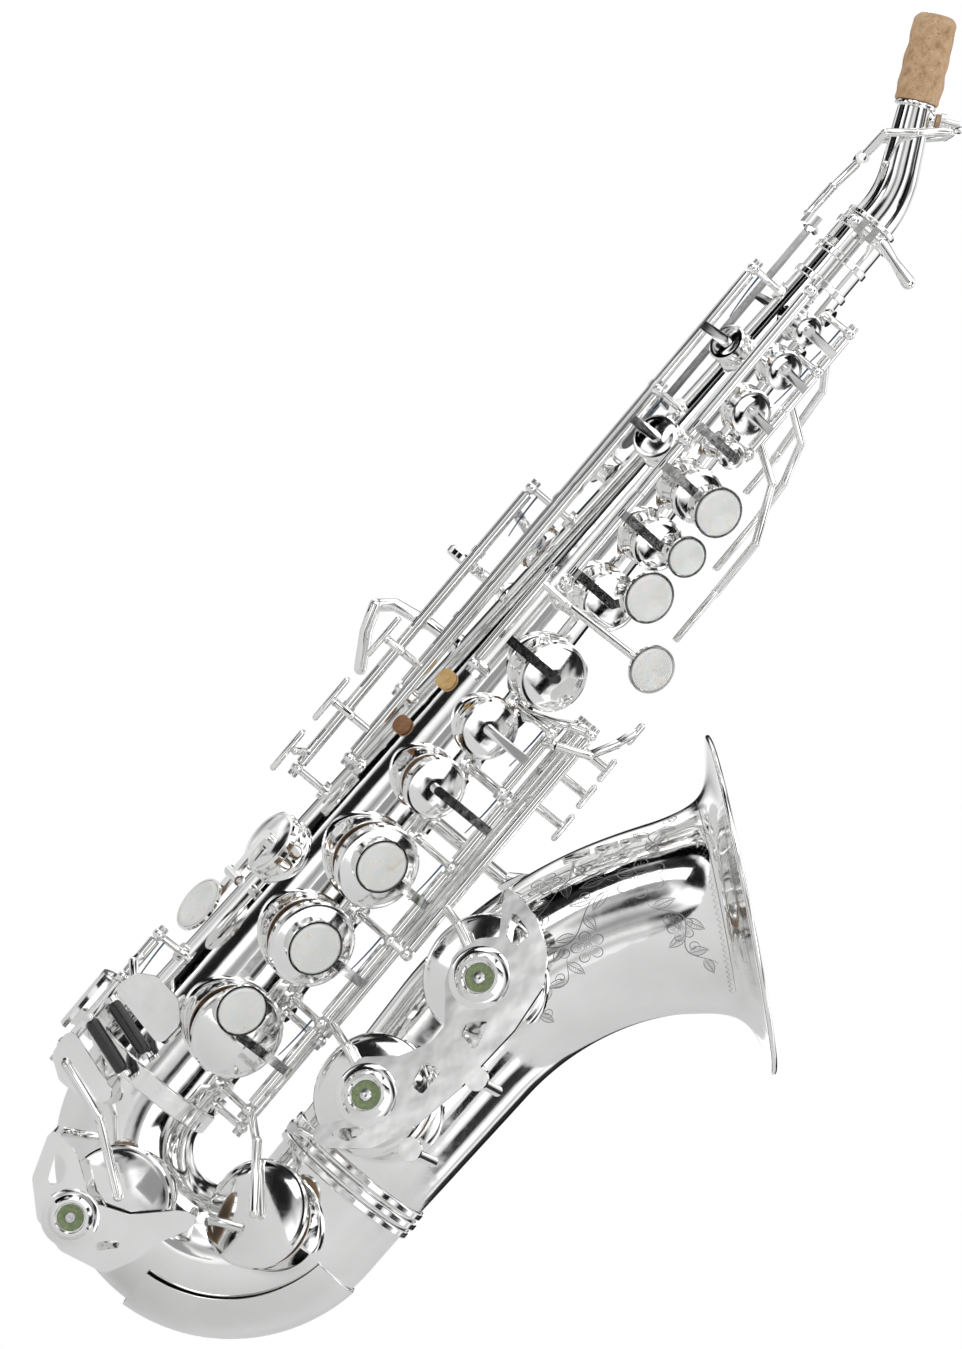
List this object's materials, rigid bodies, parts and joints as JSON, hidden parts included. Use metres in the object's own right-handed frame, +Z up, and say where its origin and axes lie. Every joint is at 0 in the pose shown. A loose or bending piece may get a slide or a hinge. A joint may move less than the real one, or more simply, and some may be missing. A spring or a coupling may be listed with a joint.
{
  "type": "soprano saxophone",
  "caption": "Curved soprano saxophone in silver plate: upturned bell, separate neck with cork, keys on hinge rods with pearl touches.",
  "frame": {"origin": "centre of the strap ring's hole, on the thumb side of the body tube", "axes": "+Z up along the body tube towards the neck, +X from the body towards the bell, +Y towards the thumb side, away from the key cups"},
  "size_m": [0.167, 0.094, 0.4117],
  "materials": {
    "silver_plate": "polished silver plate",
    "cork": "waxed cork",
    "steel": "ground",
    "blued_steel": "blued",
    "felt": "felt",
    "black_resin": "polished",
    "pearl": "mother-of-pearl"
  },
  "bodies": {
    "instrument": {"body_tube": "silver_plate", "bow": "silver_plate", "bell": "silver_plate", "rim_ring": "silver_plate", "ferrules": "silver_plate", "bow_guard": "silver_plate", "neck_receiver": "silver_plate", "strap_ring": "silver_plate", "thumb_hook": "silver_plate", "thumb_rest": "silver_plate", "bell_brace": "silver_plate", "bell_key_guard": "silver_plate", "low_c_guard": "silver_plate", "e_flat_guard": "silver_plate", "guard_felts": "felt", "key_posts": "silver_plate", "hinge_rods": "steel", "needle_springs": "blued_steel"},
    "neck": {"neck_tube": "silver_plate", "neck_tenon": "silver_plate", "neck_cork": "cork"},
    "neck_octave_key": {"neck_octave_key": "silver_plate"},
    "clamp_screw": {"clamp_screw": "silver_plate"},
    "octave_lever": {"octave_lever": "silver_plate"},
    "palm_f_key": {"palm_f_key": "silver_plate"},
    "palm_e_flat_key": {"palm_e_flat_key": "silver_plate"},
    "palm_d_key": {"palm_d_key": "silver_plate"},
    "high_e_key": {"high_e_key": "silver_plate"},
    "side_c_key": {"side_c_key": "silver_plate"},
    "side_b_flat_key": {"side_b_flat_key": "silver_plate"},
    "small_c_key": {"small_c_key": "silver_plate"},
    "b_key": {"b_key": "silver_plate", "b_pearl": "pearl"},
    "bis_key": {"bis_key": "silver_plate", "bis_pearl": "pearl"},
    "a_key": {"a_key": "silver_plate", "a_pearl": "pearl"},
    "g_key": {"g_key": "silver_plate", "g_pearl": "pearl"},
    "g_sharp_key": {"g_sharp_key": "silver_plate"},
    "f_sharp_key": {"f_sharp_key": "silver_plate"},
    "f_key": {"f_key": "silver_plate", "f_pearl": "pearl"},
    "e_key": {"e_key": "silver_plate", "e_pearl": "pearl"},
    "d_key": {"d_key": "silver_plate", "d_pearl": "pearl"},
    "alternate_f_sharp_key": {"alternate_f_sharp_key": "silver_plate", "alternate_f_sharp_pearl": "pearl"},
    "e_flat_key": {"e_flat_key": "silver_plate"},
    "low_c_key": {"low_c_key": "silver_plate"},
    "low_c_sharp_key": {"low_c_sharp_key": "silver_plate"},
    "low_b_key": {"low_b_key": "silver_plate"},
    "low_b_flat_key": {"low_b_flat_key": "silver_plate"},
    "e_flat_roller": {"e_flat_roller": "black_resin"},
    "low_c_roller": {"low_c_roller": "black_resin"}
  },
  "joints": [
    {"name": "neck_turn", "type": "hinge", "parent": "instrument", "child": "neck", "pos_m": [0.025, -0.01, 0.128], "axis": [0, 0, 1], "range_deg": [-15, 15]},
    {"name": "neck_octave_turn", "type": "hinge", "parent": "neck", "child": "neck_octave_key", "pos_m": [0.0115, -0.01, 0.1525], "axis": [0, 1, 0], "range_deg": [0, 8]},
    {"name": "clamp_screw_turn", "type": "hinge", "parent": "instrument", "child": "clamp_screw", "pos_m": [0.025, -0.0206, 0.137], "axis": [1, 0, 0], "range_deg": [-180, 180]},
    {"name": "octave_lever_turn", "type": "hinge", "parent": "instrument", "child": "octave_lever", "pos_m": [0.01258, -0.00498, 0.068], "axis": [-0.3746, -0.9272, 0], "range_deg": [0, 2.6], "stiffness_Nm_per_rad": 0.02, "springref_deg": -20.05},
    {"name": "palm_f_key_turn", "type": "hinge", "parent": "instrument", "child": "palm_f_key", "pos_m": [0.0394, -0.0148, 0.106], "axis": [0, 0, 1], "range_deg": [0, 9], "stiffness_Nm_per_rad": 0.012, "springref_deg": -20.05},
    {"name": "palm_e_flat_key_turn", "type": "hinge", "parent": "instrument", "child": "palm_e_flat_key", "pos_m": [0.0394, -0.0148, 0.094], "axis": [0, 0, 1], "range_deg": [0, 9], "stiffness_Nm_per_rad": 0.012, "springref_deg": -20.05},
    {"name": "palm_d_key_turn", "type": "hinge", "parent": "instrument", "child": "palm_d_key", "pos_m": [0.0394, -0.0148, 0.08], "axis": [0, 0, 1], "range_deg": [0, 9], "stiffness_Nm_per_rad": 0.012, "springref_deg": -20.05},
    {"name": "high_e_key_turn", "type": "hinge", "parent": "instrument", "child": "high_e_key", "pos_m": [0.0083, -0.0141, 0.09], "axis": [0, 0, 1], "range_deg": [-7, 0], "stiffness_Nm_per_rad": 0.012, "springref_deg": 20.05},
    {"name": "side_c_key_turn", "type": "hinge", "parent": "instrument", "child": "side_c_key", "pos_m": [0.0098, -0.0184, 0.058], "axis": [0, 0, 1], "range_deg": [-7, 0], "stiffness_Nm_per_rad": 0.012, "springref_deg": 20.05},
    {"name": "side_b_flat_key_turn", "type": "hinge", "parent": "instrument", "child": "side_b_flat_key", "pos_m": [0.0005, -0.011, 0.016], "axis": [0, 0, 1], "range_deg": [0, 7], "stiffness_Nm_per_rad": 0.012, "springref_deg": -20.05},
    {"name": "small_c_key_turn", "type": "hinge", "parent": "instrument", "child": "small_c_key", "pos_m": [0.0238, -0.031, 0.067], "axis": [0, 0, 1], "range_deg": [0, 8], "stiffness_Nm_per_rad": 0.012, "springref_deg": -20.05},
    {"name": "b_key_turn", "type": "hinge", "parent": "instrument", "child": "b_key", "pos_m": [0.0238, -0.031, 0.053], "axis": [0, 0, 1], "range_deg": [0, 8], "stiffness_Nm_per_rad": 0.012, "springref_deg": -20.05},
    {"name": "bis_key_turn", "type": "hinge", "parent": "instrument", "child": "bis_key", "pos_m": [0.0238, -0.031, 0.036], "axis": [0, 0, 1], "range_deg": [0, 8], "stiffness_Nm_per_rad": 0.012, "springref_deg": -20.05},
    {"name": "a_key_turn", "type": "hinge", "parent": "instrument", "child": "a_key", "pos_m": [0.0238, -0.031, 0.016], "axis": [0, 0, 1], "range_deg": [0, 8], "stiffness_Nm_per_rad": 0.012, "springref_deg": -20.05},
    {"name": "g_key_turn", "type": "hinge", "parent": "instrument", "child": "g_key", "pos_m": [0.019, -0.031, -0.009], "axis": [0, 0, 1], "range_deg": [0, 8], "stiffness_Nm_per_rad": 0.012, "springref_deg": -20.05},
    {"name": "g_sharp_key_turn", "type": "hinge", "parent": "instrument", "child": "g_sharp_key", "pos_m": [0.047, -0.024, -0.031], "axis": [0, 0, 1], "range_deg": [0, 8], "stiffness_Nm_per_rad": 0.012, "springref_deg": -20.05},
    {"name": "f_sharp_key_turn", "type": "hinge", "parent": "instrument", "child": "f_sharp_key", "pos_m": [0.04965, -0.0216, -0.052], "axis": [0, 0, 1], "range_deg": [-8, 0]},
    {"name": "f_key_turn", "type": "hinge", "parent": "instrument", "child": "f_key", "pos_m": [0.04965, -0.0216, -0.078], "axis": [0, 0, 1], "range_deg": [-8, 0], "stiffness_Nm_per_rad": 0.012, "springref_deg": 20.05},
    {"name": "e_key_turn", "type": "hinge", "parent": "instrument", "child": "e_key", "pos_m": [0.04965, -0.0216, -0.105], "axis": [0, 0, 1], "range_deg": [-8, 0], "stiffness_Nm_per_rad": 0.012, "springref_deg": 20.05},
    {"name": "d_key_turn", "type": "hinge", "parent": "instrument", "child": "d_key", "pos_m": [0.04965, -0.0216, -0.136], "axis": [0, 0, 1], "range_deg": [-8, 0], "stiffness_Nm_per_rad": 0.012, "springref_deg": 20.05},
    {"name": "alternate_f_sharp_key_turn", "type": "hinge", "parent": "instrument", "child": "alternate_f_sharp_key", "pos_m": [0.00638, -0.02075, -0.105], "axis": [0.5, -0.866, 0], "range_deg": [0, 6], "stiffness_Nm_per_rad": 0.012, "springref_deg": -20.05},
    {"name": "e_flat_key_turn", "type": "hinge", "parent": "instrument", "child": "e_flat_key", "pos_m": [0.001, -0.018, -0.138], "axis": [0, 0, 1], "range_deg": [0, 6], "stiffness_Nm_per_rad": 0.012, "springref_deg": -20.05},
    {"name": "low_c_key_turn", "type": "hinge", "parent": "instrument", "child": "low_c_key", "pos_m": [0.001, -0.018, -0.159], "axis": [0, 0, 1], "range_deg": [0, 5], "stiffness_Nm_per_rad": 0.012, "springref_deg": -20.05},
    {"name": "low_c_sharp_key_turn", "type": "hinge", "parent": "instrument", "child": "low_c_sharp_key", "pos_m": [0.0515, -0.0135, -0.152], "axis": [0, 0, 1], "range_deg": [0, 5], "stiffness_Nm_per_rad": 0.012, "springref_deg": -20.05},
    {"name": "low_b_key_turn", "type": "hinge", "parent": "instrument", "child": "low_b_key", "pos_m": [0.0526, -0.0185, -0.119], "axis": [0, 0, 1], "range_deg": [0, 5], "stiffness_Nm_per_rad": 0.012, "springref_deg": -20.05},
    {"name": "low_b_flat_key_turn", "type": "hinge", "parent": "instrument", "child": "low_b_flat_key", "pos_m": [0.0554, -0.0236, -0.077], "axis": [0, 0, 1], "range_deg": [0, 5], "stiffness_Nm_per_rad": 0.012, "springref_deg": -20.05},
    {"name": "e_flat_roller_spin", "type": "hinge", "parent": "e_flat_key", "child": "e_flat_roller", "pos_m": [0.011, -0.0326, -0.1533], "axis": [0.9563, 0, -0.2924], "continuous": true},
    {"name": "low_c_roller_spin", "type": "hinge", "parent": "low_c_key", "child": "low_c_roller", "pos_m": [0.00969, -0.03342, -0.1607], "axis": [0.9527, -0.0833, -0.2924], "continuous": true}
  ],
  "couplings": [
    {"joint": "neck_octave_turn", "follows": "octave_lever_turn", "ratio": 2.9},
    {"joint": "f_sharp_key_turn", "follows": "f_key_turn", "ratio": 1}
  ]
}
